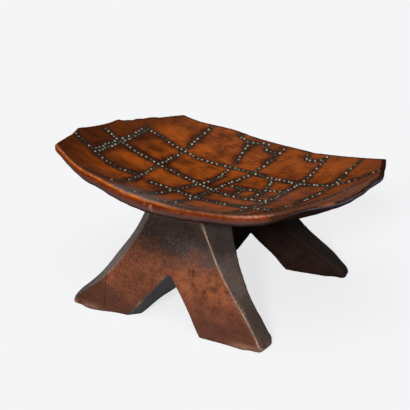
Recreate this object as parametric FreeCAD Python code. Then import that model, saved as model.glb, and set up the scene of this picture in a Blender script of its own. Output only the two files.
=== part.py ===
import FreeCAD, Part
import math
import os

# Low stool carved from one block of wood: a dished eight-sided seat on two splayed trestles,
# with lines of brass tacks driven into the seat. Millimetres, +Z up, floor at z = 0, +X along
# the seat, -Y to the front, origin on the floor under the middle of the seat.

# Seat in plan: straight ends and corners, long edges that bow outwards
SEAT_LENGTH = 460.0
SEAT_WIDTH = 286.0
END_EDGE = 90.0
LONG_CORNER_X = 182.0
LONG_EDGE_BOW = 19.0

# Seat in section: the dish is lowest in the middle and the underside follows it
DISH_FLOOR = 146.0
END_RISE = 52.0
SEAT_THICKNESS = 16.0
RIM_THICKNESS = 13.0
RIM_TOP_EASE = 2.5
RIM_UNDER_EASE = 3.5

# Trestles: both stand turned on the floor against the seat, each has an outer and an inner face
BASE_TURN = 10.3
FOOT_REACH = 140.5
FOOT_DEPTH = 27.5
TOE_HEIGHT = 11.0
TOE_SLOPE = 3.0
ARRIS_EASE = 2.0
SOLE_TRIM = 4.0

# Outer face, measured from the middle of the trestle and up from the floor
OUTER_LEAN = 9.6
OUTER_TOE = 140.0
OUTER_HOLLOW = 6.0
OUTER_NECK = 36.5
OUTER_NECK_DROP = 3.0
OUTER_NOTCH_HALF = 58.0
OUTER_NOTCH_HEIGHT = 67.0
OUTER_NOTCH_TOP = 5.0

# Inner face, wider at the neck than the outer one, so that the legs have slanted sides
INNER_LEAN = 19.8
INNER_TOE = 145.0
INNER_HOLLOW = 11.0
INNER_NECK = 62.0
INNER_NECK_DROP = 15.0
INNER_NOTCH_HALF = 52.0
INNER_NOTCH_HEIGHT = 48.0
INNER_NOTCH_TOP = 4.0

# Tacks: six-sided domed heads on the wood, their points hidden in it
TACK_PITCH = 7.4
HEAD_DIAMETER = 5.0
HEAD_CROWN = 2.6
HEAD_HEIGHT = 1.3
HEAD_SIDES = 6
HEAD_CLEARANCE = 0.1

# Points nearer than this count as one place when edges are looked up
SAME_PLACE = 0.01

# Tack lines in plan, through the points that each course needs, in hundredths of the seat's
# half length and half width
TACK_LINES = {
    "long_row_back": [(-77, 41), (-54, 43), (-30, 47), (-16, 52), (11, 52), (37, 49), (62, 49), (85, 63)],
    "long_row_middle": [(-95, 3), (-79, -1), (-55, 0), (-27, 1), (-10, -2), (4, -6), (24, -8), (42, -5)],
    "long_row_front_left": [(-93, -43), (-80, -43), (-57, -41), (-46, -34)],
    "long_row_front_right": [(-32, -35), (-15, -31), (0, -31), (28, -31), (54, -38), (61, -41)],
    "cross_row_1_outer": [(-83, 42), (-81, 12), (-80, -11), (-77, -37)],
    "cross_row_1_inner": [(-80, 42), (-78, 12), (-77, -11), (-74, -37)],
    "cross_row_2": [(-53, 89), (-52, 69), (-49, 43), (-47, 8), (-43, -27), (-40, -59), (-39, -76)],
    "cross_row_2_hook": [(-42, -81), (-52, -85)],
    "cross_row_3": [(-21, 85), (-17, 63), (-13, 35), (-11, 15), (-13, -3), (-16, -29), (-18, -87)],
    "cross_row_3_fork_left": [(-24, 89), (-33, 92)],
    "cross_row_3_fork_right": [(-19, 90), (-13, 93)],
    "cross_row_4": [(4, 93), (3, 85), (1, 54), (-1, 11), (0, -8), (0, -31), (1, -59), (2, -90)],
    "cross_row_4_hook": [(-9, 94), (-9, 90), (-6, 87), (0, 86)],
    "cross_row_5": [(37, 91), (37, 80), (38, 57), (38, 34), (41, 3), (42, -24), (43, -56), (44, -83)],
    "cross_row_5_hook": [(23, 92), (23, 88), (27, 85), (34, 87)],
    "cross_row_6": [(63, 85), (61, 63), (62, 37), (63, 3), (63, -19), (61, -43), (57, -73)],
    "cross_row_7": [(84, 28), (80, 14), (77, -3), (73, -28), (66, -62)],
    "panel_row_long": [(4, 15), (12, 15), (25, 21), (35, 24)],
    "panel_row_cross": [(18, 47), (21, 38), (24, 26), (27, 6), (27, -2)],
    "panel_row_short": [(13, 10), (15, -2)],
    "front_rim_row": [(7, -92), (31, -90)],
}


def vector(x, y, z=0.0):
    return FreeCAD.Vector(x, y, z)


class Dish:
    """One face of the seat: a part of a sphere, lowest under the middle of the seat."""

    def __init__(self, floor, end_rise):
        self.radius = ((SEAT_LENGTH / 2) ** 2 + end_rise**2) / (2 * end_rise)
        self.centre = vector(0, 0, floor + self.radius)

    def height(self, x, y):
        return self.centre.z - math.sqrt(self.radius**2 - x**2 - y**2)

    def hollow(self):
        """The space above this face. The sphere's axis lies level, which keeps its facets few."""
        return Part.makeSphere(self.radius, self.centre, vector(0, 1, 0))


SEAT_SWELL = SEAT_THICKNESS - RIM_THICKNESS
TOP = Dish(DISH_FLOOR, END_RISE)
MIDDLE = Dish(DISH_FLOOR - SEAT_THICKNESS / 2, END_RISE + SEAT_SWELL / 2)
UNDER = Dish(DISH_FLOOR - SEAT_THICKNESS, END_RISE + SEAT_SWELL)


def middle_of(edge):
    return edge.valueAt((edge.FirstParameter + edge.LastParameter) / 2)


def seat_plan():
    """The eight-sided outline, with its two long edges as arcs."""
    half_length = SEAT_LENGTH / 2
    half_width = SEAT_WIDTH / 2
    corner_y = half_width - LONG_EDGE_BOW
    end_y = END_EDGE / 2
    edges = []
    for side in (-1, 1):
        left = vector(side * LONG_CORNER_X, side * corner_y)
        right = vector(-side * LONG_CORNER_X, side * corner_y)
        edges.append(Part.Arc(left, vector(0, side * half_width), right).toShape())
        end = [right, vector(-side * half_length, side * end_y), vector(-side * half_length, -side * end_y)]
        edges.append(Part.makePolygon(end + [vector(-side * LONG_CORNER_X, -side * corner_y)]))
    return Part.Wire(edges)


def rim_edges(slab, dish):
    """The edges of the slab that run round the rim on one face of the seat."""
    found = []
    for edge in slab.Edges:
        ends = [vertex.Point for vertex in edge.Vertexes]
        points = ends + [middle_of(edge)]
        if all(abs(p.z - dish.height(p.x, p.y)) < SAME_PLACE for p in points):
            found.append(edge)
    return found


def seat_slab():
    block = Part.Face(seat_plan()).extrude(vector(0, 0, TOP.centre.z))
    slab = block.common(UNDER.hollow()).cut(TOP.hollow())
    slab = slab.makeChamfer(RIM_TOP_EASE, rim_edges(slab, TOP))
    return slab.makeChamfer(RIM_UNDER_EASE, rim_edges(slab, UNDER))


def trestle_face(reach, lean, toe, hollow, neck, notch):
    """One face of a trestle: two curved legs over a notch, carried up into the seat and below the floor.

    The neck is a half width and its height, the notch a half width, a height and the drop of its crest.
    """
    slope = math.tan(math.radians(lean))
    neck_half, neck_height = neck
    notch_half, notch_height, notch_top = notch

    def at(x, z):
        return vector(x, -(reach - slope * z), z)

    toe_half = toe - TOE_SLOPE
    run = math.hypot(toe_half - neck_half, neck_height - TOE_HEIGHT)
    waist_half = (neck_half + toe_half) / 2 - hollow * (neck_height - TOE_HEIGHT) / run
    waist_height = (neck_height + TOE_HEIGHT) / 2 - hollow * (toe_half - neck_half) / run

    def leg_side(side):
        ends = at(side * neck_half, neck_height), at(side * toe_half, TOE_HEIGHT)
        return Part.Arc(ends[0], at(side * waist_half, waist_height), ends[1]).toShape()

    top = MIDDLE.height(neck_half, reach)
    right = leg_side(1)
    left = leg_side(-1)
    up = right.tangentAt(right.FirstParameter)
    shoulder = neck_half + (top - neck_height) * up.x / up.z
    crown = [at(-neck_half, neck_height), at(-shoulder, top), at(shoulder, top), at(neck_half, neck_height)]
    toe_low = toe + TOE_SLOPE * SOLE_TRIM / TOE_HEIGHT
    notch_low = notch_half * (1 + SOLE_TRIM / notch_height)
    wall_top = at(notch_half * notch_top / notch_height, notch_height - notch_top)
    foot = [at(toe_half, TOE_HEIGHT), at(toe_low, -SOLE_TRIM), at(notch_low, -SOLE_TRIM), wall_top]
    other_foot = [vector(-p.x, p.y, p.z) for p in reversed(foot)]
    crest = Part.Arc(foot[-1], at(0, notch_height - notch_top / 2), other_foot[0]).toShape()
    runs = [Part.makePolygon(points) for points in (crown, foot, other_foot)]
    return Part.Wire([runs[0], right, runs[1], crest, runs[2], left])


def is_arris(edge):
    """Edges round a trestle's two faces, apart from those under the floor or buried in the seat."""
    point = middle_of(edge)
    lowest = min(vertex.Z for vertex in edge.Vertexes)
    outer_y = FOOT_REACH - point.z * math.tan(math.radians(OUTER_LEAN))
    inner_y = FOOT_REACH - FOOT_DEPTH - point.z * math.tan(math.radians(INNER_LEAN))
    on_face = min(abs(point.y + outer_y), abs(point.y + inner_y)) < SAME_PLACE
    return on_face and point.z > 0 and lowest < MIDDLE.height(point.x, point.y)


def front_trestle():
    """Sawn level at the floor, and cut off inside the seat."""
    outer = trestle_face(
        FOOT_REACH,
        OUTER_LEAN,
        OUTER_TOE,
        OUTER_HOLLOW,
        (OUTER_NECK, DISH_FLOOR - OUTER_NECK_DROP),
        (OUTER_NOTCH_HALF, OUTER_NOTCH_HEIGHT, OUTER_NOTCH_TOP),
    )
    inner = trestle_face(
        FOOT_REACH - FOOT_DEPTH,
        INNER_LEAN,
        INNER_TOE,
        INNER_HOLLOW,
        (INNER_NECK, DISH_FLOOR - INNER_NECK_DROP),
        (INNER_NOTCH_HALF, INNER_NOTCH_HEIGHT, INNER_NOTCH_TOP),
    )
    block = Part.makeLoft([outer, inner], True, True)
    eased = block.makeChamfer(ARRIS_EASE, [edge for edge in block.Edges if is_arris(edge)])
    span = 4 * max(OUTER_TOE, INNER_TOE, FOOT_REACH)
    below_floor = Part.makeBox(span, span, 2 * SOLE_TRIM, vector(-span / 2, -span / 2, -2 * SOLE_TRIM))
    trestle = eased.cut([below_floor, MIDDLE.hollow()])
    trestle.rotate(vector(0, 0), vector(0, 0, 1), BASE_TURN)
    return trestle


def tack_places():
    """Even steps along each line, leaving out a tack where an earlier line already has one."""
    taken = []
    rows = {}
    for name, points in TACK_LINES.items():
        course = Part.BSplineCurve()
        course.interpolate([vector(x * SEAT_LENGTH / 200, y * SEAT_WIDTH / 200) for x, y in points])
        steps = max(round(course.length() / TACK_PITCH), 1)
        rows[name] = []
        for place in course.discretize(Number=steps + 1):
            if all(place.distanceToPoint(other) > HEAD_DIAMETER + HEAD_CLEARANCE for other in taken):
                rows[name].append(place)
                taken.append(place)
    return rows


def ring(diameter, height):
    """The corners of a level many-sided ring round the Z axis."""
    radius = diameter / 2
    angles = [2 * math.pi * i / HEAD_SIDES for i in range(HEAD_SIDES)]
    return [vector(radius * math.cos(angle), radius * math.sin(angle), height) for angle in angles]


def flat(corners):
    return Part.Face(Part.makePolygon(corners + corners[:1]))


def tack_head():
    """A head at the origin along +Z, lifted because the dish curves up under its edge."""
    lift = (HEAD_DIAMETER / 2) ** 2 / (2 * TOP.radius) + HEAD_CLEARANCE
    foot = ring(HEAD_DIAMETER, lift)
    crown = ring(HEAD_CROWN, lift + HEAD_HEIGHT)
    sides = [flat([foot[i - 1], foot[i], crown[i], crown[i - 1]]) for i in range(HEAD_SIDES)]
    return Part.Solid(Part.Shell(sides + [flat(foot[::-1]), flat(crown)]))


def on_dish(shape, place):
    """A copy of a shape, stood square on the dish at one place of the plan."""
    foot = vector(place.x, place.y, TOP.height(place.x, place.y))
    seated = shape.copy()
    seated.Placement = FreeCAD.Placement(foot, FreeCAD.Rotation(vector(0, 0, 1), TOP.centre - foot))
    return seated


def carved_body():
    """Seat and trestles in one piece. The back trestle is the front one turned half round."""
    front = front_trestle()
    back = front.copy()
    back.rotate(vector(0, 0), vector(0, 0, 1), 180)
    return seat_slab().fuse([front, back]).Solids[0]


head = tack_head()
nodes = {"carved_body": carved_body()}
for name, row in tack_places().items():
    nodes["tacks_" + name] = Part.makeCompound([on_dish(head, place) for place in row])

os.makedirs("parts", exist_ok=True)
for name, shape in nodes.items():
    shape.exportStep("parts/" + name + ".step")
    print(name, "solids:", len(shape.Solids), "valid:", shape.isValid(), "volume:", round(shape.Volume))
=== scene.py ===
"""Looks of a low stool carved from one block of wood, with lines of worn brass tacks in its dished seat."""

import math
import random

import bpy
import numpy as np
from mathutils import Matrix, Vector
from mathutils.kdtree import KDTree


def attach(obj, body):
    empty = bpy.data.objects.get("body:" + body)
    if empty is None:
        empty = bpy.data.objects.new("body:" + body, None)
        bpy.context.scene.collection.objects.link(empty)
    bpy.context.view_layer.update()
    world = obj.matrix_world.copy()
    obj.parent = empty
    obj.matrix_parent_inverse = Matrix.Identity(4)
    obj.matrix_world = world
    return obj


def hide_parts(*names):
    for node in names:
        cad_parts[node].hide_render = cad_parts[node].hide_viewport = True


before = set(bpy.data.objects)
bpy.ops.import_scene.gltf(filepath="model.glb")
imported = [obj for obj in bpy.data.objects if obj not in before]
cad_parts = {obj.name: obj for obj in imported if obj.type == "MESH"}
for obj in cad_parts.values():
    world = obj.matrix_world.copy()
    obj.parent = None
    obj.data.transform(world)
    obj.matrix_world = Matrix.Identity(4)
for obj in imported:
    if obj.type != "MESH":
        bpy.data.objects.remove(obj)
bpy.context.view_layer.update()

# The model is in metres. Sizes and places below are in millimetres, and MM turns them into metres.
MM = 0.001
BODY = "root"
WOOD_NODE = "carved_body"
TACK_PREFIX = "tacks_"

# The even dish of the solids, which the carved surface starts from, and the turn of the legs under it
DISH_FLOOR = 146.0
DISH_RADIUS = 534.65
SEAT_THICKNESS = 16.0
RIM_THICKNESS = 13.0
BASE_TURN = math.radians(10.3)
FRONT = -1
BACK = 1

# How the hand-carved seat departs from the even dish: place in plan, move there, and added thickness
SEAT_MOVES = [
    ((-182, -124), (-2.0, 1.0, 8.8), -0.5),
    ((-206, -85), (1.5, 1.5, 4.5), -1.0),
    ((-230, -45), (4.4, 2.0, -1.4), -0.5),
    ((-230, 0), (3.5, -1.0, -5.0), 0.0),
    ((-230, 45), (3.9, -5.3, -6.6), 0.0),
    ((-206, 85), (6.5, -2.0, -2.6), 0.0),
    ((-182, 124), (10.2, 1.3, -2.0), 0.0),
    ((182, 124), (2.2, 1.2, 5.2), 0.0),
    ((230, 45), (-1.0, 2.0, 7.5), -3.0),
    ((230, 0), (-3.0, 0.0, 1.5), -2.0),
    ((230, -45), (-5.5, -1.6, -3.1), -5.0),
    ((206, -85), (-3.0, 2.5, -2.0), -7.5),
    ((182, -124), (-0.7, 6.2, -3.0), -0.5),
    ((0, -143), (0.0, 5.5, 5.5), 4.5),
    ((0, 143), (0.0, 4.0, 9.0), 0.0),
    ((-48, 141), (2.0, 3.5, 9.2), 0.0),
    ((-95, -138), (-1.0, 3.0, 6.5), 2.6),
    ((-48, -141), (0.0, 4.0, 6.2), 4.0),
    ((48, -141), (0.0, 6.0, 4.0), 2.0),
    ((95, -138), (0.0, 6.0, 2.0), 0.5),
    ((-95, 138), (4.0, 3.0, 9.2), 0.0),
    ((48, 141), (0.5, 3.5, 8.2), 0.0),
    ((95, 138), (1.0, 3.0, 8.0), 0.0),
    ((140, 132), (1.5, 2.0, 7.6), 0.0),
]
# Places in plan where the seat keeps to the even dish, so that only its lip is uneven
STILL_PLACES = [(x, y) for x in (-140, -93, -47, 0, 47, 93, 140) for y in (-98, 98)]
STILL_PLACES += [(x, y) for x in (-168, 183) for y in (-48, 0, 48)]
MOVE_REACH = 52.0
# The seat's moves fade out down the legs between these heights, but near the dish they hold to these depths
SEAT_HOLD = (50.0, 135.0)
UNDER_HOLD = (SEAT_THICKNESS + 4.0, SEAT_THICKNESS + 10.0)

# How the legs depart from the even trestles: trestle, place along it, out and up, and the move there
LEG_MOVES = [
    (FRONT, (-47, 121, 115), (5.5, 0.0, 0.0)),
    (FRONT, (-58, 124, 100), (6.5, 0.0, 0.0)),
    (FRONT, (-84, 129, 70), (8.5, 0.0, 0.0)),
    (FRONT, (-110, 134, 40), (5.5, 0.0, 0.0)),
    (FRONT, (-135, 138, 16), (-2.5, 2.0, 0.0)),
    (FRONT, (-138, 139, 2), (-3.0, 3.5, 0.0)),
    (FRONT, (-100, 140, 0), (0.0, 3.0, 0.0)),
    (FRONT, (-62, 67, 128), (-6.0, 0.0, 0.0)),
    (FRONT, (-75, 77, 100), (-6.5, 0.0, 0.0)),
    (FRONT, (-90, 88, 70), (-9.4, 0.0, 0.0)),
    (FRONT, (-113, 99, 40), (-7.0, 0.0, 0.0)),
    (FRONT, (-139, 107, 16), (-6.0, 0.0, 0.0)),
    (FRONT, (-144, 111, 4), (-6.5, 0.0, 0.0)),
    (FRONT, (-52, 113, 0), (8.0, 6.0, 0.0)),
    (FRONT, (-62, 140, 0), (0.0, -5.0, 0.0)),
    (FRONT, (-10, 128, 64), (3.0, 0.0, 5.0)),
    (FRONT, (28, 128, 35), (3.0, 0.0, 0.0)),
    (FRONT, (-30, 105, 24), (4.0, 0.0, -1.0)),
    (FRONT, (-10, 98, 46), (4.0, 0.0, -3.0)),
    (FRONT, (142, 122, 4), (4.5, 0.0, 0.0)),
    (FRONT, (138, 139, 2), (6.0, 5.0, 0.0)),
    (FRONT, (58, 140, 0), (-2.5, 2.0, 0.0)),
    (FRONT, (75, 78, 100), (2.0, 0.0, 0.0)),
    (FRONT, (42, 119, 125), (6.5, 0.0, 0.0)),
    (FRONT, (62, 124, 96), (6.5, 0.0, 0.0)),
    (FRONT, (86, 129, 68), (6.5, 0.0, 0.0)),
    (FRONT, (110, 134, 40), (6.5, 0.0, 0.0)),
    (FRONT, (132, 138, 16), (6.0, 2.0, 0.0)),
    (FRONT, (106, 100, 50), (2.5, 0.0, 0.0)),
    (FRONT, (84, 88, 85), (2.5, 0.0, 0.0)),
    (BACK, (62, 66, 128), (-30.0, 0.0, 0.0)),
    (BACK, (38, 116, 128), (-30.0, 0.0, 0.0)),
    (BACK, (78, 80, 95), (-28.0, 0.0, 0.0)),
    (BACK, (62, 118, 95), (-28.0, 0.0, 0.0)),
    (BACK, (96, 92, 62), (-22.0, 0.0, 0.0)),
    (BACK, (88, 124, 62), (-20.0, 0.0, 0.0)),
    (BACK, (14, 96, 44), (-4.0, 0.0, 0.0)),
    (BACK, (120, 112, 32), (-4.0, 0.0, 0.0)),
    (BACK, (54, 113, 0), (0.0, -9.0, 0.0)),
    (BACK, (92, 113, 0), (0.0, -5.0, 0.0)),
    (BACK, (30, 105, 24), (0.0, -3.0, 0.0)),
    (BACK, (-50, 110, 4), (13.0, 0.0, 0.0)),
    (BACK, (-36, 105, 18), (11.0, 0.0, 0.0)),
    (BACK, (-22, 101, 31), (7.0, 0.0, 0.0)),
    (BACK, (-6, 96, 45), (3.0, 0.0, 0.0)),
]
LEG_REACH = 34.0
# The legs' moves fade in between these depths below the dish
LEG_HOLD = (SEAT_THICKNESS - 6.0, SEAT_THICKNESS + 6.0)
# How much a field of moves may miss its moves, so that close places don't pull it out of shape
FIELD_GIVE = 0.02

# Chips and worn hollows: place on the even solids, radius, depth, and how pale the bared wood is
CHIPS = [
    ((229, -34, 198), 6.0, 1.8, 0.0),
    ((230, -20, 196), 5.0, 2.2, 0.0),
    ((230, -6, 196), 7.0, 1.6, 0.0),
    ((230, 12, 196), 5.0, 2.0, 0.0),
    ((230, 30, 197), 6.0, 1.2, 0.0),
    ((-227, 51, 198), 6.0, 2.4, 0.0),
    ((-220, 62, 198), 7.0, 2.6, 0.0),
    ((-211, 76, 198), 6.0, 1.6, 0.0),
    ((-200, 94, 198), 9.0, 1.5, 0.0),
    ((-4, -143, 160), 2.2, 0.6, 0.35),
    ((7, -143, 158), 2.6, 0.9, 0.75),
    ((9, -143, 155), 2.0, 0.6, 0.5),
    ((52, -140, 161), 2.2, 0.5, 0.4),
    ((60, 141, 164), 8.0, 1.3, 0.0),
    ((-60, 141, 164), 6.0, 1.0, 0.0),
]

# Dark stains in the panels of the seat: from and to in plan, how wide, and how dark
STAINS = [
    ((-141, -43), (-112, -34), 17.0, 0.5),
    ((-106, 33), (-88, 37), 14.0, 0.4),
    ((10, 0), (30, 6), 9.0, 0.6),
    ((70, 3), (80, 10), 8.0, 0.5),
]

# Mesh of the body: how fine it is, how often it is averaged, and what stays crisp
SEW_GAP = 0.01
GRID_DEPTH = 8
GRID_SHARE = 0.77
EASE_SHARE = 0.5
EASE_ROUNDS = 2
MASK_ROUNDS = 1
RIM_FADE_ROUNDS = 2
RIM_ROUNDS = 3
CRISP_SHARE = 0.85
CRISP_PLACE = (110.0, 165.0)
LIP_ROUNDS = 10
ARRIS_ROUNDS = 3
TOE_ROUNDS = 16
TOE_HEIGHT = (14.0, 34.0)
TOE_PLACE = (112.0, 128.0)
SOLE_DEPTH = 0.6

# Parts of the stool, told apart by how their faces lean: the two leans between which a part fades
RIM_LEAN = (0.55, 0.85)
UNDER_LEAN = (0.5, 0.8)
OUTER_LEAN = (0.6, 0.85)
INNER_LEAN = (0.5, 0.75)
# The dish is what faces up and lies near the even dish, and the seat fades out just below its underside
DISH_LEAN = 0.6
DISH_NEAR = 1.5
SEAT_FADE = 3.0
# Depth on the rim is told as a share of its thickness, up to this one
DEEPEST_RIM = 1.5

# The worn edge of the front trestle is a curve through the ends of slices of its outer face
EDGE_HEIGHTS = np.linspace(8.0, 120.0, 15)
EDGE_SLICE = 3.0
EDGE_DEGREE = 3
FAR_OFF = 99.0

# Waves that the tools left, with their height, length and seed, and the worn band along the tacks
HAND_WAVE = 0.25
HAND_LENGTH = 34.0
HAND_SEED = 3
TOOL_WAVE = 0.45
TOOL_LENGTH = 21.0
TOOL_SEED = 5
WAVE_COUNT = 7
WAVE_SPREAD = (0.7, 1.5)
WAVE_GAIN = 1.6
WAVE_FLOOR = (0.0, 12.0)
BAND_SINK = 0.45
BAND_EDGE = (1.8, 4.6)

# Lines from tack to tack: how far apart two tacks of one may be, and the points marked between them
LINK_REACH = 11.0
LINK_SHARES = (0.25, 0.5, 0.75)
# The step in plan over which the seat's slope is taken
SLOPE_STEP = 2.0

# Tack heads: their size, and how unevenly they are made and driven
HEAD_RADIUS = 2.0
HEAD_RISE = 1.35
HEAD_SKIRT = 0.8
HEAD_SIDES = 10
HEAD_RINGS = 6
HEAD_SEED = 7
HEAD_LEAN = 0.12
HEAD_STRAY = 1.1
HEAD_WIDTHS = (0.86, 1.04)
HEAD_HEIGHTS = (0.7, 1.05)
FULL_TURN = 6.28

# Dirt on the heads: each has its own share, with more on some rows, at the front and at the right-hand end
DULL_SPREAD = 0.95
DULL_ROWS = {
    "tacks_cross_row_7": 0.3,
    "tacks_cross_row_6": 0.1,
    "tacks_cross_row_2_hook": 0.8,
    "tacks_front_rim_row": 0.7,
    "tacks_long_row_front_left": 0.05,
    "tacks_long_row_front_right": 0.05,
    "tacks_cross_row_1_outer": 0.1,
    "tacks_cross_row_1_inner": 0.15,
}
FRONT_DULL = 0.45
FRONT_PLACE = (-10.0, -80.0)
END_DULL = 0.35
END_PLACE = (110.0, 165.0)

# Camera of the photograph, in metres, with its frame in pixels and its sensor in millimetres
CAMERA_PLACE = (0.9211, -1.0871, 0.6613)
CAMERA_TURN = math.radians(40.93)
CAMERA_DIP = math.radians(20.71)
CAMERA_NEAR = 0.05
FOCAL_PIXELS = 1125.0
FRAME_PIXELS = 410
SENSOR = 36.0

# Light: name, where it comes from, how wide its source looks, and its level on a face square to it
LAMPS = [
    ("front", (0.42, -0.82, 0.42), 10.0, 0.95),
    ("above", (0.15, -0.4, 1.0), 60.0, 0.45),
]
WALL_LEVEL = 0.92
CEILING_LEVEL = 0.03
WALL_RISE = (0.12, 0.26)
FLOOR_SIZE = 30.0
FLOOR_COLOUR = (0.905, 0.905, 0.921, 1.0)
FLOOR_BOUNCE = (0.42, 0.42, 0.43, 1.0)
FLOOR_ROUGHNESS = 0.9
FLOOR_SHINE = 0.1
GLOW_COLOUR = (0.95, 0.95, 0.965, 1.0)
FLOOR_GLOW = 0.78


def linear(red, green, blue):
    """A colour given as it looks on a screen, 0 to 255, as the linear colour of a shader."""
    parts = [c / 255 for c in (red, green, blue)]
    return tuple(c / 12.92 if c <= 0.04045 else ((c + 0.055) / 1.055) ** 2.4 for c in parts) + (1.0,)


# Colours of the seat
PANEL_DARK = linear(58, 28, 19)
PANEL_BRIGHT = linear(156, 76, 21)
LEFT_END_BROWN = linear(62, 30, 17)
RIGHT_END_BROWN = linear(90, 44, 28)
RIGHT_FRONT_PALE = linear(124, 82, 64)
# Near the front rim: darker red at the left-hand end, elsewhere grey, partly dull wood and partly a painted
# sheen
NEAR_RIM_RED = linear(84, 38, 15)
NEAR_RIM_DUST_AND_SHEEN = linear(94, 72, 63)
# Painted sheen: a paler, less saturated brown over the far panels
FAR_PANEL_SHEEN = linear(94, 54, 38)
# Painted reflection: a grey sheen in an arc just inside the front rim
CRESCENT_SHEEN_GREY = linear(136, 117, 114)
FLECK_DARK = linear(52, 20, 8)
STAIN_DARK = linear(54, 27, 18)
BAND_DARK = linear(40, 32, 24)
BAND_GREEN = linear(66, 63, 48)
BAND_MIDDLE = linear(86, 84, 68)
# Painted shade in the crease where the seat meets the rim
LIP_SHADE_DARK = linear(42, 21, 12)

# Colours of the rim
RIM_DARK = linear(74, 25, 5)
RIM_RED = linear(126, 52, 10)
# Painted reflection: a purple-grey sheen on the lower half of the rim's side
RIM_LOWER_SHEEN = linear(82, 58, 55)
# Painted shade on the rim's right-hand faces
RIM_SHADED = linear(52, 27, 18)
RIM_BACK = linear(40, 21, 13)
# The rim's right-hand end: painted shade above, a painted bluish reflection lower down
END_SHADE_DARK = linear(24, 16, 13)
END_SHEEN_GREY = linear(82, 86, 96)
# The rim's top edge: pale where worn, with a painted highlight along it
CREST_LEFT_WORN_LIT = linear(212, 112, 34)
CREST_RIGHT_WORN_LIT = linear(152, 86, 54)
# Painted highlight on the front of the rim near its right-hand end
CORNER_HIGHLIGHT = linear(214, 160, 138)
# Rubbed-through wood on the rim near the right-hand end, with a painted highlight on it
BARED_WOOD_HIGHLIT = linear(164, 90, 46)

# Colours of the legs and the underside
LEG_DARK = linear(66, 38, 28)
LEG_RED = linear(128, 73, 48)
LEG_LOW = linear(62, 40, 33)
LEFT_FOOT_BROWN = linear(60, 34, 26)
RUBBED_RED = linear(164, 96, 60)
SMOKE_BLACK = linear(23, 20, 18)
SMOKE_GREY = linear(54, 45, 41)
SCUFF_GREY = linear(98, 97, 92)
HAZE_DARK = linear(58, 51, 48)
HAZE_PALE = linear(98, 89, 84)
# The narrow sides of the legs, grey from a painted sheen
SIDE_SHEEN_DARK = linear(74, 62, 57)
SIDE_SHEEN_PALE = linear(116, 98, 90)
SIDE_LOW = linear(52, 42, 38)
SIDE_SOOT = linear(46, 43, 41)
# The left-hand sides, paler grey from a painted sheen
LEFT_SIDE_SHEEN_DARK = linear(84, 75, 71)
LEFT_SIDE_SHEEN_PALE = linear(128, 117, 113)
LEFT_SIDE_LOW = linear(66, 58, 55)
# Painted reflection of the floor on the notch walls
NOTCH_SHEEN_GREY = linear(68, 69, 72)
# Painted shade on the sides of the back trestle
BACK_SIDE_SHADE = linear(32, 28, 27)
UNLIT_DARK = linear(23, 15, 13)
UNLIT_BROWN = linear(48, 31, 26)
ARRIS_PALE = linear(190, 142, 114)
EDGE_PALE = linear(194, 152, 126)
SCRATCH_PALE = linear(180, 112, 76)
TOE_PALE = linear(176, 134, 108)
CRACK_DARK = linear(30, 18, 14)
UNDERSIDE_BROWN = linear(46, 33, 28)
CHIP_PALE = linear(214, 160, 122)

# Colours of the tacks
BRASS_RUBBED = linear(156, 151, 133)
BRASS_DULL = linear(68, 66, 56)
BRASS_GREEN = linear(84, 112, 94)
BRASS_DIRT = linear(38, 34, 27)

# Noises over the wood and the tacks: how fine, how drawn out along the seat, and how detailed
GRAIN_NOISE = {"scale": 260.0, "stretch": (0.12, 1, 1), "detail": 5.0, "roughness": 0.6}
FINE_NOISE = {"scale": 900.0, "stretch": (0.08, 1, 1), "detail": 3.0, "roughness": 0.6}
CLOUD_NOISE = {"scale": 20.0, "stretch": (0.7, 1, 1), "detail": 3.0}
BLOTCH_NOISE = {"scale": 60.0}
SPECK_NOISE = {"scale": 320.0, "detail": 2.0}
TARNISH_NOISE = {"scale": 420.0, "detail": 2.0}

# Single marks: from, to and how wide. On the rim they are in plan, on the legs along the trestle and up.
# Pale patch on the rim: rubbed-through wood with a painted highlight
BARED_HIGHLIT_CORNER = ((214, -63), (220, -53), 7.0)
SCUFFS = ((2, 116), (30, 104), 11.0)
SHORT_SCRATCH = ((22, 68), (40, 92), 0.7)
LONG_SCRATCH = ((10, 52), (34, 80), 0.6)
CRACK = ((-93, 53), (-91, 6), 0.8)
# The share of a mark's width in which it is at its fullest
MARK_CORE = 0.4

# Finish of the wood and the tacks: roughness, oil on the wood, relief of the grain, and share of metal
SEAT_ROUGHNESS = 0.36
ROUGHER_OFF_SEAT = 0.16
SEAT_OIL = 0.06
MIDDLE_OIL = 0.26
LEG_OIL = 0.08
OIL_ROUGHNESS = 0.3
GRAIN_RELIEF = 0.16
GRAIN_DEPTH = 0.6
BRASS_METAL = 0.45
BRASS_ROUGHNESS = 0.36
ROUGHER_WHEN_DULL = 0.2


def smoothstep(low, high, value):
    """0 at low, 1 at high, and a smooth change between them."""
    t = np.clip((value - low) / (high - low), 0.0, 1.0)
    return t * t * (3 - 2 * t)


def dish_height(x, y):
    """Height of the even dish above a place in plan."""
    return DISH_FLOOR + DISH_RADIUS - np.sqrt(DISH_RADIUS**2 - x**2 - y**2)


def trestle_axes(side):
    """Directions along a trestle and out from the middle of the stool."""
    along = np.array((math.cos(BASE_TURN), math.sin(BASE_TURN), 0.0))
    out = side * np.array((-math.sin(BASE_TURN), math.cos(BASE_TURN), 0.0))
    return along, out


class MoveField:
    """A smooth field of moves that nearly meets each given move at its place and dies out around it."""

    def __init__(self, places, moves, reach):
        self.places = np.array(places, float)
        self.reach = reach
        own = self.kernel(self.places) + FIELD_GIVE * np.eye(len(self.places))
        self.weights = np.linalg.solve(own, np.array(moves, float))

    def kernel(self, points):
        gaps = np.linalg.norm(points[:, None, :] - self.places[None, :, :], axis=2)
        return np.exp(-((gaps / self.reach) ** 2))

    def at(self, points):
        return self.kernel(points) @ self.weights


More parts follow.
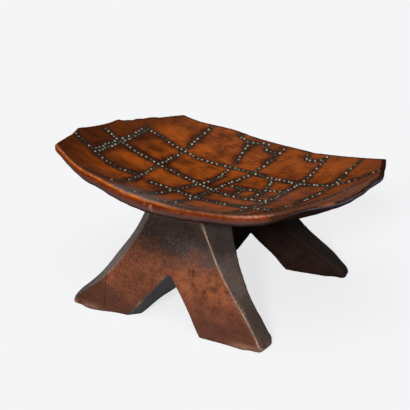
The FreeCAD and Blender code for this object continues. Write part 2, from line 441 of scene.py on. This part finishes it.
def field_of_seat():
    """The seat's moves in plan and up, and as a fourth value how far its underside is lifted."""
    places = [place for place, _, _ in SEAT_MOVES] + STILL_PLACES
    moves = [move + (-thicker,) for _, move, thicker in SEAT_MOVES]
    return MoveField(places, moves + [(0.0, 0.0, 0.0, 0.0)] * len(STILL_PLACES), MOVE_REACH)


def field_of_legs():
    places = []
    moves = []
    for side, (u, w, z), (du, dw, dz) in LEG_MOVES:
        along, out = trestle_axes(side)
        places.append(along * u + out * w + np.array((0, 0, z)))
        moves.append(along * du + out * dw + np.array((0, 0, dz)))
    return MoveField(places, moves, LEG_REACH)


seat_field = field_of_seat()
leg_field = field_of_legs()


def hand_carved(points):
    """Moves points of the even solids, in millimetres, to where the hand-carved surface has them."""
    seat = seat_field.at(points[:, :2])
    depth = dish_height(points[:, 0], points[:, 1]) - points[:, 2]
    hold = smoothstep(*SEAT_HOLD, points[:, 2])
    hold = np.maximum(hold, 1 - smoothstep(*UNDER_HOLD, depth))
    moves = seat[:, :3] * hold[:, None]
    moves[:, 2] += seat[:, 3] * np.clip(depth / RIM_THICKNESS, 0.0, 1.0) * hold
    leg = smoothstep(*LEG_HOLD, depth)
    return points + moves + leg_field.at(points) * leg[:, None]


def waver(points, size, seed):
    """Soft uneven waves about as long as size, mostly between -1 and 1."""
    draw = np.random.default_rng(seed)
    total = np.zeros(len(points))
    for _ in range(WAVE_COUNT):
        direction = draw.normal(size=3)
        direction /= np.linalg.norm(direction)
        rate = 2 * math.pi / (size * draw.uniform(*WAVE_SPREAD))
        total += np.sin(points @ direction * rate + draw.uniform(0, 2 * math.pi))
    return total / WAVE_COUNT * WAVE_GAIN


def only(obj):
    """Selects one object alone and makes it active."""
    bpy.ops.object.select_all(action="DESELECT")
    obj.select_set(True)
    bpy.context.view_layer.objects.active = obj


def apply_modifier(obj, kind, **settings):
    modifier = obj.modifiers.new(kind.title(), kind)
    for name, value in settings.items():
        setattr(modifier, name, value)
    only(obj)
    bpy.ops.object.modifier_apply(modifier=modifier.name)


def coordinates(mesh):
    flat = np.empty(len(mesh.vertices) * 3, np.float32)
    mesh.vertices.foreach_get("co", flat)
    return flat.reshape(-1, 3).astype(float)


def set_coordinates(mesh, points):
    mesh.vertices.foreach_set("co", points.astype(np.float32).ravel())
    mesh.update()


def normals(mesh):
    flat = np.empty(len(mesh.vertices) * 3, np.float32)
    mesh.vertex_normals.foreach_get("vector", flat)
    return flat.reshape(-1, 3).astype(float)


def spread(mesh, values, rounds):
    """Averages values over each vertex's neighbours, again and again."""
    ends = np.empty(len(mesh.edges) * 2, np.int32)
    mesh.edges.foreach_get("vertices", ends)
    first, second = ends[0::2], ends[1::2]
    count = len(mesh.vertices)
    degree = np.bincount(first, minlength=count) + np.bincount(second, minlength=count)
    columns = values.reshape(count, -1).astype(float)
    for _ in range(rounds):
        total = np.empty_like(columns)
        for c in range(columns.shape[1]):
            total[:, c] = np.bincount(first, columns[second, c], count)
            total[:, c] += np.bincount(second, columns[first, c], count)
        columns = 0.5 * columns + 0.5 * total / np.maximum(degree, 1)[:, None]
    return columns.reshape(values.shape)


def set_attribute(mesh, name, values):
    layer = mesh.attributes.new(name, "FLOAT", "POINT")
    layer.data.foreach_set("value", values.astype(np.float32))


def merged_copy(node, name):
    """A copy of a CAD node's mesh with its loose triangles sewn together."""
    copy = bpy.data.objects.new(name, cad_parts[node].data.copy())
    bpy.context.scene.collection.objects.link(copy)
    copy.data.materials.clear()
    only(copy)
    bpy.ops.object.mode_set(mode="EDIT")
    bpy.ops.mesh.select_all(action="SELECT")
    bpy.ops.mesh.remove_doubles(threshold=SEW_GAP * MM)
    bpy.ops.object.mode_set(mode="OBJECT")
    return copy


def discard(obj):
    mesh = obj.data
    bpy.data.objects.remove(obj)
    bpy.data.meshes.remove(mesh)


def tack_rows():
    """For each row of tacks, where its heads stand on the even dish, in plan."""
    rows = {}
    for node in sorted(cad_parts):
        if not node.startswith(TACK_PREFIX):
            continue
        only(merged_copy(node, "loose_heads"))
        bpy.ops.mesh.separate(type="LOOSE")
        heads = list(bpy.context.selected_objects)
        rows[node] = np.array([coordinates(head.data).mean(axis=0)[:2] / MM for head in heads])
        for head in heads:
            discard(head)
    return rows


def seat_points(plan):
    """Points of the carved surface above places in plan, with the surface's normals there."""
    def surface(p):
        return hand_carved(np.column_stack([p, dish_height(p[:, 0], p[:, 1])]))

    along = surface(plan + (SLOPE_STEP, 0)) - surface(plan - (SLOPE_STEP, 0))
    across = surface(plan + (0, SLOPE_STEP)) - surface(plan - (0, SLOPE_STEP))
    facing = np.cross(along, across)
    return surface(plan), facing / np.linalg.norm(facing, axis=1)[:, None]


def tack_lines(rows):
    """Search tree of points on the lines from tack to tack."""
    places = np.vstack([seat_points(plan)[0] for plan in rows.values()])
    points = list(places)
    for i, a in enumerate(places):
        for b in places[i + 1:]:
            if np.linalg.norm(a - b) < LINK_REACH:
                points += [a * (1 - t) + b * t for t in LINK_SHARES]
    tree = KDTree(len(points))
    for i, p in enumerate(points):
        tree.insert(Vector(p), i)
    tree.balance()
    return tree


def edge_gap(points, polish):
    """How far in from the right-hand edge of the front trestle's outer face each vertex is."""
    along, out = [points @ axis for axis in trestle_axes(FRONT)]
    face = (polish > 0.5) & (out > 0)
    edges = [along[face & (np.abs(points[:, 2] - z) < EDGE_SLICE)].max() for z in EDGE_HEIGHTS]
    gap = np.polyval(np.polyfit(EDGE_HEIGHTS, edges, EDGE_DEGREE), points[:, 2]) - along
    return np.where(out > 0, gap, FAR_OFF)


def face_masks(mesh, points):
    """Which part of the stool each vertex is on, from its place and normal on the even solids."""
    facing = spread(mesh, normals(mesh), MASK_ROUNDS)
    facing /= np.linalg.norm(facing, axis=1)[:, None]
    middle = np.array((0, 0, DISH_FLOOR + DISH_RADIUS))
    upright = (middle - points) / np.linalg.norm(middle - points, axis=1)[:, None]
    rise = np.einsum("ij,ij->i", facing, upright)
    depth = dish_height(points[:, 0], points[:, 1]) - points[:, 2]
    seat = 1 - smoothstep(SEAT_THICKNESS, SEAT_THICKNESS + SEAT_FADE, depth)
    side = np.where(points @ trestle_axes(BACK)[1] > 0, BACK, FRONT)
    out = np.where(side == BACK, facing @ trestle_axes(BACK)[1], facing @ trestle_axes(FRONT)[1])
    masks = {
        "dish": (np.abs(depth) < DISH_NEAR) * (rise > DISH_LEAN) * 1.0,
        "rim": seat * (1 - smoothstep(*RIM_LEAN, np.abs(rise))),
        "under": seat * smoothstep(*UNDER_LEAN, -rise),
        "polish": (1 - seat) * smoothstep(*OUTER_LEAN, out),
        "inner": (1 - seat) * smoothstep(*INNER_LEAN, -out),
    }
    masks = {name: spread(mesh, mask, MASK_ROUNDS) for name, mask in masks.items()}
    masks["rim_depth"] = np.clip(depth / RIM_THICKNESS, 0.0, DEEPEST_RIM)
    masks["edge_gap"] = edge_gap(points, masks["polish"])
    return masks


def ease(mesh, points, rounds, share):
    """Rounds the surface off where share is above nothing."""
    return points + (spread(mesh, points, rounds) - points) * share[:, None]


def chip(mesh, points, even):
    """Presses the chips in, and gives how pale the wood is at each vertex."""
    facing = normals(mesh)
    pale = np.zeros(len(points))
    for place, radius, depth, paleness in CHIPS:
        gap = np.linalg.norm(even - np.array(place, float), axis=1)
        share = np.exp(-((gap / radius) ** 2))
        points = points - facing * (share * depth)[:, None]
        pale = np.maximum(pale, share**3 * paleness)
    return points, pale


def carve_body(rows):
    """The wooden body: a fine mesh of the even solid, eased, moved to its hand-carved shape and chipped."""
    body = merged_copy(WOOD_NODE, "stool_body")
    apply_modifier(body, "REMESH", mode="SHARP", octree_depth=GRID_DEPTH, scale=GRID_SHARE)
    even = coordinates(body.data) / MM
    apply_modifier(body, "SMOOTH", factor=EASE_SHARE, iterations=EASE_ROUNDS)
    mesh = body.data
    mesh.shade_smooth()
    masks = face_masks(mesh, even)
    points = coordinates(mesh) / MM
    soles = even[:, 2] < SOLE_DEPTH
    points[soles, 2] = 0.0
    crisp = CRISP_SHARE * smoothstep(*CRISP_PLACE, points[:, 0])
    rim_share = spread(mesh, masks["rim"], RIM_FADE_ROUNDS) * (1 - crisp)
    toes = 1 - smoothstep(*TOE_HEIGHT, points[:, 2])
    toes *= smoothstep(*TOE_PLACE, np.abs(points @ trestle_axes(BACK)[0]))
    points = ease(mesh, points, RIM_ROUNDS, rim_share)
    points = ease(mesh, points, TOE_ROUNDS, toes)
    points = hand_carved(points)
    set_coordinates(mesh, points * MM)
    points, pale = chip(mesh, points, even)
    line = tack_lines(rows)
    gap = np.array([line.find(Vector(p))[2] for p in points])
    facing = normals(mesh)
    rough_hewn = np.maximum(masks["under"], masks["inner"])
    lift = HAND_WAVE * waver(points, HAND_LENGTH, HAND_SEED) * (1 - masks["dish"])
    lift += TOOL_WAVE * waver(points, TOOL_LENGTH, TOOL_SEED) * rough_hewn
    lift -= BAND_SINK * (1 - smoothstep(*BAND_EDGE, gap)) * masks["dish"]
    lift *= smoothstep(*WAVE_FLOOR, points[:, 2])
    points += facing * lift[:, None]
    points[:, 2] = np.maximum(points[:, 2], 0.0)
    set_coordinates(mesh, points * MM)
    masks["arris"] = np.einsum("ij,ij->i", points - spread(mesh, points, ARRIS_ROUNDS), normals(mesh))
    masks["lip"] = spread(mesh, masks["rim"], LIP_ROUNDS)
    masks["tack_gap"] = gap
    masks["pale"] = pale
    for name, values in masks.items():
        set_attribute(mesh, name, values)
    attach(body, BODY)
    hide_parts(WOOD_NODE)
    return body


def model_head():
    """One domed head on the origin: the top of a flattened ball, drawn down to a short skirt."""
    bpy.ops.object.select_all(action="DESELECT")
    bpy.ops.mesh.primitive_uv_sphere_add(
        segments=HEAD_SIDES, ring_count=HEAD_RINGS, radius=HEAD_RADIUS * MM
    )
    head = bpy.context.object
    head.name = "tack_head"
    bpy.ops.object.mode_set(mode="EDIT")
    bpy.ops.mesh.select_all(action="SELECT")
    bpy.ops.mesh.bisect(plane_co=(0, 0, 0), plane_no=(0, 0, 1), clear_inner=True, clear_outer=False)
    bpy.ops.mesh.select_all(action="SELECT")
    bpy.ops.transform.resize(value=(1, 1, HEAD_RISE / HEAD_RADIUS))
    bpy.ops.mesh.select_all(action="DESELECT")
    bpy.ops.mesh.select_non_manifold()
    bpy.ops.mesh.extrude_region_move(TRANSFORM_OT_translate={"value": (0, 0, -HEAD_SKIRT * MM)})
    bpy.ops.mesh.edge_face_add()
    bpy.ops.mesh.select_all(action="SELECT")
    bpy.ops.mesh.normals_make_consistent(inside=False)
    bpy.ops.object.mode_set(mode="OBJECT")
    head.data.shade_smooth()
    return head


def drive_tacks(rows, body):
    """One piece for each row, its heads copied from one head and set on the carved seat one by one."""
    draw = random.Random(HEAD_SEED)
    pattern = model_head()
    pieces = []
    for node, plan in rows.items():
        stray = [[draw.uniform(-HEAD_STRAY, HEAD_STRAY) for _ in range(2)] for _ in plan]
        places, facings = seat_points(plan + np.array(stray))
        heads = []
        for place, facing in zip(places, facings):
            lean = Vector(facing) + Vector([draw.uniform(-HEAD_LEAN, HEAD_LEAN) for _ in range(3)])
            spin = Matrix.Rotation(draw.uniform(0, FULL_TURN), 3, "Z")
            turn = lean.to_track_quat("Z", "Y").to_matrix() @ spin
            width = draw.uniform(*HEAD_WIDTHS)
            size = Matrix.Diagonal((width, width, draw.uniform(*HEAD_HEIGHTS)))
            seat = body.closest_point_on_mesh(Vector(place) * MM)[1]
            head = bpy.data.objects.new("head", pattern.data.copy())
            bpy.context.scene.collection.objects.link(head)
            head.data.transform(Matrix.Translation(seat) @ (turn @ size).to_4x4())
            dull = DULL_SPREAD * draw.random() + DULL_ROWS.get(node, 0.0)
            dull += FRONT_DULL * smoothstep(*FRONT_PLACE, place[1])
            dull += END_DULL * smoothstep(*END_PLACE, place[0])
            set_attribute(head.data, "dull", np.full(len(head.data.vertices), dull))
            heads.append(head)
        piece = heads[0]
        only(piece)
        for head in heads:
            head.select_set(True)
        bpy.ops.object.join()
        piece.name = node.replace(TACK_PREFIX, "tack_")
        piece.data.name = piece.name
        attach(piece, BODY)
        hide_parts(node)
        pieces.append(piece)
    discard(pattern)
    return pieces


class Shade:
    """A node socket that takes part in Python expressions. Each operation adds a Math node."""

    def __init__(self, tree, socket):
        self.tree = tree
        self.socket = socket

    def math(self, operation, *others):
        values = {f"_{i}": value for i, value in enumerate((self,) + others)}
        return add_node(self.tree, "ShaderNodeMath", {"operation": operation}, **values)

    def __add__(self, other):
        return self.math("ADD", other)

    __radd__ = __add__

    def __sub__(self, other):
        return self.math("SUBTRACT", other)

    def __rsub__(self, other):
        return (self * -1.0) + other

    def __mul__(self, other):
        return self.math("MULTIPLY", other)

    __rmul__ = __mul__

    def __truediv__(self, other):
        return self.math("DIVIDE", other)

    def clamp(self):
        return add_node(self.tree, "ShaderNodeClamp", _0=self)

    def step(self, low, high):
        """0 at low, 1 at high, and a smooth change between them. High may be the smaller."""
        settings = {"interpolation_type": "SMOOTHSTEP"}
        if low < high:
            return add_node(self.tree, "ShaderNodeMapRange", settings, _0=self, _1=low, _2=high)
        return 1 - add_node(self.tree, "ShaderNodeMapRange", settings, _0=self, _1=high, _2=low)

    def zone(self, low, high):
        """As step, for a place, with low and high in millimetres."""
        return self.step(low * MM, high * MM)

    def sway(self, size):
        """A noise from 0 to 1 as a change of up to half of size either way."""
        return (self - 0.5) * size


def add_node(tree, kind, settings=None, out=0, **inputs):
    """Adds a node with its settings, then its sockets' values or links. Gives one of its outputs."""
    node = tree.nodes.new(kind)
    for name, value in (settings or {}).items():
        setattr(node, name, value)
    for name, value in inputs.items():
        key = int(name[1:]) if name.startswith("_") else name.replace("_", " ")
        if isinstance(value, Shade):
            tree.links.new(value.socket, node.inputs[key])
        else:
            node.inputs[key].default_value = value
    return Shade(tree, node.outputs[out])


def mix(factor, first, second):
    """Mixes two colours. A Mix node's colour sockets are known by their numbers alone."""
    tree = next(v.tree for v in (factor, first, second) if isinstance(v, Shade))
    return add_node(tree, "ShaderNodeMix", {"data_type": "RGBA"}, 2, _0=factor, _6=first, _7=second)


def material(name):
    made = bpy.data.materials.new(name)
    made.use_nodes = True
    return made, made.node_tree, made.node_tree.nodes["Principled BSDF"]


def feed(tree, shader, **values):
    """Sets or links the sockets of a shader that is there already."""
    for name, value in values.items():
        socket = shader.inputs[name.replace("_", " ")]
        if isinstance(value, Shade):
            tree.links.new(value.socket, socket)
        else:
            socket.default_value = value


def attribute(tree, name):
    """A value that the mesh carries at each vertex."""
    return add_node(tree, "ShaderNodeAttribute", {"attribute_name": name}, "Fac")


def noise(tree, place, scale, stretch=(1, 1, 1), detail=4.0, roughness=0.55):
    """Noise from 0 to 1. A stretch below 1 draws it out along that axis."""
    spot = add_node(tree, "ShaderNodeMapping", _0=place, Scale=stretch)
    values = {"Vector": spot, "Scale": scale, "Detail": detail, "Roughness": roughness}
    return add_node(tree, "ShaderNodeTexNoise", **values)


def stroke(across, up, start, end, width):
    """1 along a straight mark from start to end, in millimetres on two axes, and 0 elsewhere."""
    run = [(b - a) * MM for a, b in zip(start, end)]
    off = [across - start[0] * MM, up - start[1] * MM]
    share = ((off[0] * run[0] + off[1] * run[1]) / (run[0] ** 2 + run[1] ** 2)).clamp()
    gap = [o - share * r for o, r in zip(off, run)]
    return (gap[0] * gap[0] + gap[1] * gap[1]).math("SQRT").zone(width, width * MARK_CORE)


def wood():
    """Oiled hardwood: polished seat with dark tack bands, worn rim with painted highlights, sheen and
    shade, and legs blackened at the top with a painted sheen on their sides.
    """
    made, tree, shader = material("carved_wood")
    place = add_node(tree, "ShaderNodeTexCoord", None, "Object")
    apart = add_node(tree, "ShaderNodeSeparateXYZ", _0=place).socket.node
    x, y, z = [Shade(tree, output) for output in apart.outputs]
    along = x * math.cos(BASE_TURN) + y * math.sin(BASE_TURN)
    back = (y * math.cos(BASE_TURN) - x * math.sin(BASE_TURN)).zone(-10, 10)
    front = 1 - back
    grain = noise(tree, place, **GRAIN_NOISE)
    fine = noise(tree, place, **FINE_NOISE)
    cloud = noise(tree, place, **CLOUD_NOISE)
    blotch = noise(tree, place, **BLOTCH_NOISE)
    speck = noise(tree, place, **SPECK_NOISE)
    dish = attribute(tree, "dish")
    rim = attribute(tree, "rim")
    lip = attribute(tree, "lip")
    polish = attribute(tree, "polish")

    def panel_colour(gap):
        """The panels between the tack lines, bright in the middle and dark towards the lines."""
        rubbed = (gap + cloud.sway(10.0) + y.zone(20, 80) * 2.5).step(2.5, 15.0)
        streaks = grain.sway(1.5) + fine.sway(0.5) + blotch.sway(1.1)
        tone = (rubbed * 0.7 + cloud.sway(1.2) + streaks + 0.02).clamp()
        uneven_x = x + cloud.sway(100 * MM)
        left_end = uneven_x.zone(-120, -195)
        right_end = uneven_x.zone(120, 200)
        right_front = x.zone(160, 190) * y.zone(70, 20)
        # Painted sheen over the far panels
        far_sheen = y.zone(50, 130)
        # Near the front rim the seat turns darker; away from the left-hand end it is also grey, dull wood
        # with a painted sheen
        near_rim = (y + blotch.sway(50 * MM)).zone(-70, -110) * x.zone(180, 100)
        dust_and_sheen_side = x.zone(-85, -45)
        # Painted reflection: the grey sheen arc inside the front rim
        sheen_crescent = near_rim * dust_and_sheen_side * x.zone(60, 0) * (grain * 0.5 + blotch * 0.5).step(0.34, 0.52)
        flecks = (blotch * 0.5 + speck * 0.5 + cloud.sway(0.4)).step(0.5, 0.38)
        panel = mix(tone, PANEL_DARK, PANEL_BRIGHT)
        panel = mix(left_end * 0.8, panel, LEFT_END_BROWN)
        panel = mix(right_end * 0.5, panel, RIGHT_END_BROWN)
        panel = mix(right_front * 0.6, panel, RIGHT_FRONT_PALE)
        panel = mix(near_rim * 0.7, panel, mix(dust_and_sheen_side, NEAR_RIM_RED, NEAR_RIM_DUST_AND_SHEEN))
        panel = mix(far_sheen * 0.3, panel, FAR_PANEL_SHEEN)
        panel = mix(sheen_crescent * 0.75, panel, CRESCENT_SHEEN_GREY)
        panel = mix(flecks * 0.4, panel, FLECK_DARK)
        stain_x = x + blotch.sway(20 * MM)
        stain_y = y + cloud.sway(20 * MM)
        for start, end, width, share in STAINS:
            stain = stroke(stain_x, stain_y, start, end, width)
            panel = mix(stain * share, panel, STAIN_DARK)
        return panel, sheen_crescent

    def seat_colour():
        gap = attribute(tree, "tack_gap")
        panel, sheen_crescent = panel_colour(gap)
        beside_tacks = (gap + blotch.sway(3.0) + speck.sway(2.4)).step(4.7, 2.3)
        band = mix(speck.step(0.5, 0.72), BAND_DARK, BAND_GREEN)
        band = mix(gap.step(1.6, 0.6) * 0.15, band, BAND_MIDDLE)
        # The tack bands fade under the painted sheen arc
        seat = mix(beside_tacks * (0.88 - sheen_crescent * 0.45), panel, band)
        # Painted shade in the crease inside the rim: in patches, and all along the back
        lip_shade = lip.step(0.04, 0.3) * (blotch + 0.2).step(0.5, 0.8) * 0.5
        lip_shade = lip_shade + lip.step(0.05, 0.3) * y.zone(0, 60)
        return mix(lip_shade.clamp() * 0.92, seat, LIP_SHADE_DARK)

    def rim_colour():
        streak = (grain.sway(2.0) + blotch.sway(2.0) + speck.sway(1.6) + 0.5).clamp()
        down = attribute(tree, "rim_depth") + blotch.sway(0.5)
        # The rim's top edge: worn, and a painted highlight along it
        crest_wear_and_highlight = down.step(0.34, 0.06) * (blotch + 0.35).step(0.55, 0.9)
        crest_wear_and_highlight = crest_wear_and_highlight * (0.6 + x.zone(-215, -180) * 0.4)
        # Painted highlight on the front of the rim near its right-hand end
        corner_highlight = down.step(0.4, 0.1) * x.zone(110, 160) * y.zone(-90, -110)
        # Painted shade on the rim's right-hand faces, and a painted bluish reflection low on the end
        right_shade = (x + y * 0.3 + speck.sway(20 * MM)).zone(138, 150)
        # Rubbed-through wood near the right-hand end of the rim, with a painted highlight
        bared_and_highlit = stroke(x, y, *BARED_HIGHLIT_CORNER) * down.step(0.7, 0.3) * (blotch + 0.3).step(0.55, 0.85)
        end_shade_and_sheen = mix(down.step(0.3, 0.75), END_SHADE_DARK, END_SHEEN_GREY)
        right_shade_tint = mix(x.zone(190, 210), RIM_SHADED, end_shade_and_sheen)
        side = mix(streak, RIM_DARK, RIM_RED)
        # Painted sheen on the lower half of the rim's side
        side = mix(down.step(0.35, 0.8) * 0.85, side, RIM_LOWER_SHEEN)
        side = mix(crest_wear_and_highlight * 0.9, side, mix(x.zone(-20, 60), CREST_LEFT_WORN_LIT, CREST_RIGHT_WORN_LIT))
        side = mix(y.zone(0, 50) * 0.8, side, RIM_BACK)
        side = mix(corner_highlight * 0.6, side, CORNER_HIGHLIGHT)
        side = mix(right_shade * 0.85, side, right_shade_tint)
        return mix(bared_and_highlit * 0.65, side, BARED_WOOD_HIGHLIT)

    def outer_face_colour(mottle):
        """The outer faces of the trestles, red below and black with smoke above."""
        uneven_z = z + blotch.sway(40 * MM)
        left_foot = (along + blotch.sway(40 * MM)).zone(-75, -115) * front
        rubbed = along.zone(0, 30) * z.zone(42, 60) * z.zone(90, 76) * (blotch + 0.2).step(0.55, 0.8)
        smoke_line = z - along.zone(0, 40) * (12 * MM)
        smoke = (smoke_line + blotch.sway(70 * MM) + cloud.sway(50 * MM)).zone(70, 110)
        scuffs = stroke(along, z, *SCUFFS) * (fine * 0.6 + speck * 0.4).step(0.5, 0.66)
        haze = along.zone(0, 35) * uneven_z.zone(70, 100) * z.zone(124, 110) * front
        black = mix(mottle, SMOKE_BLACK, SMOKE_GREY)
        black = mix(scuffs * 0.3, black, SCUFF_GREY)
        red = mix(mottle, LEG_DARK, LEG_RED)
        red = mix(uneven_z.zone(60, 12) * 0.7, red, LEG_LOW)
        red = mix(left_foot * 0.5, red, LEFT_FOOT_BROWN)
        red = mix(rubbed * front * 0.35, red, RUBBED_RED)
        red = mix(smoke * 0.95, red, black)
        return mix(haze * 0.28, red, mix(mottle, HAZE_DARK, HAZE_PALE))

    def side_face_colour(mottle):
        """The narrow sides of the legs and the notches between them, grey with a painted sheen at the front
        and dark with painted shade at the back.
        """
        right = along.zone(0, 20)
        sooty = (z + blotch.sway(40 * MM)).zone(85, 110) * right
        in_notch = along.math("ABSOLUTE").zone(70, 62) * z.zone(88, 78)
        # Painted sheen greys the sides and the left-hand ends
        left_side = mix(mottle, LEFT_SIDE_SHEEN_DARK, LEFT_SIDE_SHEEN_PALE)
        left_side = mix(z.zone(50, 15) * 0.6, left_side, LEFT_SIDE_LOW)
        grey = mix(mottle, SIDE_SHEEN_DARK, SIDE_SHEEN_PALE)
        grey = mix(right * z.zone(75, 30) * 0.6, grey, SIDE_LOW)
        grey = mix(sooty * 0.75, grey, SIDE_SOOT)
        grey = mix(along.zone(-20, -40), grey, left_side)
        # Painted reflection of the floor in the notches
        grey = mix(in_notch * 0.9, grey, NOTCH_SHEEN_GREY)
        # Painted shade on the back trestle's sides, deepest on the right-hand leg
        return mix(back * (0.45 + along.zone(-20, 20) * 0.4), grey, BACK_SIDE_SHADE)

    def worn(leg):
        """Pale edges, scratches and toes, and one dark crack, all on the front trestle."""
        arris = (attribute(tree, "arris") + speck.sway(0.08)).step(0.22, 0.36)
        arris = arris * blotch.step(0.5, 0.6) * front * along.zone(40, 20)
        edge = attribute(tree, "edge_gap") + speck.sway(0.8)
        edge = edge.step(1.6, 0.8) * edge.step(-0.8, -0.1)
        edge = edge * (0.26 + (blotch * 0.6 + speck * 0.4).step(0.42, 0.58) * 0.34)
        scratch = stroke(along, z, *SHORT_SCRATCH) + stroke(along, z, *LONG_SCRATCH)
        scratch = scratch.clamp() * speck.step(0.4, 0.6) * front
        toes = along.math("ABSOLUTE").zone(85, 125) * front
        toes = toes * (z + blotch.sway(14 * MM)).zone(12, 3) * (blotch + 0.2).step(0.5, 0.8)
        crack = stroke(along + blotch.sway(8 * MM), z, *CRACK) * front
        leg = mix(arris * 0.25, leg, ARRIS_PALE)
        leg = mix(edge, leg, EDGE_PALE)
        leg = mix(scratch * 0.2, leg, SCRATCH_PALE)
        leg = mix(toes * 0.4, leg, TOE_PALE)
        return mix(crack * 0.65, leg, CRACK_DARK)

    def leg_colour():
        mottle = blotch.sway(0.8) + grain.sway(0.8) + speck.sway(1.3) + cloud.sway(1.2)
        mottle = (mottle + 0.5).clamp()
        unlit = mix(mottle, UNLIT_DARK, UNLIT_BROWN)
        leg = mix(polish, side_face_colour(mottle), outer_face_colour(mottle))
        leg = mix(attribute(tree, "inner") * 0.9, leg, unlit)
        return worn(leg)

    colour = mix(attribute(tree, "under"), leg_colour(), UNDERSIDE_BROWN)
    colour = mix(rim, colour, rim_colour())
    colour = mix(dish, colour, seat_colour())
    colour = mix(attribute(tree, "pale"), colour, CHIP_PALE)
    rough = SEAT_ROUGHNESS + (1 - dish) * ROUGHER_OFF_SEAT + fine.sway(0.14) + blotch.sway(0.1)
    relief = grain * 0.5 + fine * 0.3 + speck * 0.2
    bump = add_node(
        tree, "ShaderNodeBump", Strength=GRAIN_RELIEF, Distance=GRAIN_DEPTH * MM, Height=relief
    )
    middle = x.zone(-150, -50) * x.zone(160, 80)
    oiled = dish * lip.step(0.12, 0.01) * (SEAT_OIL + middle * MIDDLE_OIL) + polish * LEG_OIL
    feed(tree, shader, Base_Color=colour, Roughness=rough, Normal=bump, Coat_Weight=oiled,
         Coat_Roughness=OIL_ROUGHNESS, Specular_IOR_Level=0.0)
    return made


def brass():
    """Old brass, grey with handling and green where it is never rubbed."""
    made, tree, shader = material("tack_brass")
    place = add_node(tree, "ShaderNodeTexCoord", None, "Object")
    dull = attribute(tree, "dull")
    spots = noise(tree, place, **TARNISH_NOISE)
    tint = mix((dull * 0.7 + spots * 0.5).step(0.35, 0.9), BRASS_RUBBED, BRASS_DULL)
    tint = mix(spots.step(0.56, 0.68) * 0.6, tint, BRASS_GREEN)
    tint = mix(dull.step(0.6, 1.2) * 0.8, tint, BRASS_DIRT)
    rough = BRASS_ROUGHNESS + dull * ROUGHER_WHEN_DULL
    feed(tree, shader, Base_Color=tint, Metallic=BRASS_METAL, Roughness=rough)
    return made


def paper():
    """Pale floor. Seen straight or in a reflection it is part white, so the shadow on it stays faint."""
    made, tree, shader = material("floor_paper")
    rays = add_node(tree, "ShaderNodeLightPath", None, "Is Camera Ray")
    seen = rays
    for name in ("Is Glossy Ray", "Is Transmission Ray"):
        seen = seen.math("MAXIMUM", Shade(tree, rays.socket.node.outputs[name]))
    tone = mix(seen, FLOOR_BOUNCE, FLOOR_COLOUR)
    feed(tree, shader, Base_Color=tone, Roughness=FLOOR_ROUGHNESS, Specular_IOR_Level=FLOOR_SHINE)
    glow = add_node(tree, "ShaderNodeEmission", Color=GLOW_COLOUR, Strength=1.0)
    lit = Shade(tree, shader.outputs["BSDF"])
    blend = add_node(tree, "ShaderNodeMixShader", _0=seen * FLOOR_GLOW, _1=lit, _2=glow)
    tree.links.new(blend.socket, tree.nodes["Material Output"].inputs["Surface"])
    return made


def lamp(name, place, width, level):
    """A far soft light, even over the whole floor."""
    data = bpy.data.lights.new(name, "SUN")
    data.angle = math.radians(width)
    data.energy = level * math.pi
    obj = bpy.data.objects.new(name, data)
    obj.location = place
    obj.rotation_euler = (-Vector(place)).to_track_quat("-Z", "Y").to_euler()
    bpy.context.scene.collection.objects.link(obj)


def studio():
    """Pale floor, a room with bright walls and a dark ceiling, and the lamps."""
    bpy.ops.object.select_all(action="DESELECT")
    bpy.ops.mesh.primitive_plane_add(size=FLOOR_SIZE)
    floor = bpy.context.object
    floor.name = "floor"
    floor.data.materials.append(paper())
    world = bpy.data.worlds.new("soft_room")
    bpy.context.scene.world = world
    world.use_nodes = True
    tree = world.node_tree
    direction = add_node(tree, "ShaderNodeTexCoord", None, "Generated")
    rise = add_node(tree, "ShaderNodeSeparateXYZ", None, "Z", _0=direction)
    strength = rise.step(*WALL_RISE) * (CEILING_LEVEL - WALL_LEVEL) + WALL_LEVEL
    tree.links.new(strength.socket, tree.nodes["Background"].inputs["Strength"])
    tree.nodes["Background"].inputs["Color"].default_value = (1, 1, 1, 1)
    for name, place, width, level in LAMPS:
        lamp(name, place, width, level)


def camera():
    """The camera as it stood for the photograph."""
    data = bpy.data.cameras.new("photo_view")
    data.sensor_width = SENSOR
    data.lens = FOCAL_PIXELS * SENSOR / FRAME_PIXELS
    data.clip_start = CAMERA_NEAR
    obj = bpy.data.objects.new("photo_view", data)
    obj.location = CAMERA_PLACE
    obj.rotation_euler = (math.pi / 2 - CAMERA_DIP, 0, CAMERA_TURN)
    bpy.context.scene.collection.objects.link(obj)
    bpy.context.scene.camera = obj


rows = tack_rows()
body = carve_body(rows)
body.data.materials.append(wood())
brass_finish = brass()
for piece in drive_tacks(rows, body):
    piece.data.materials.clear()
    piece.data.materials.append(brass_finish)
studio()
camera()
bpy.context.scene.view_settings.view_transform = "Standard"
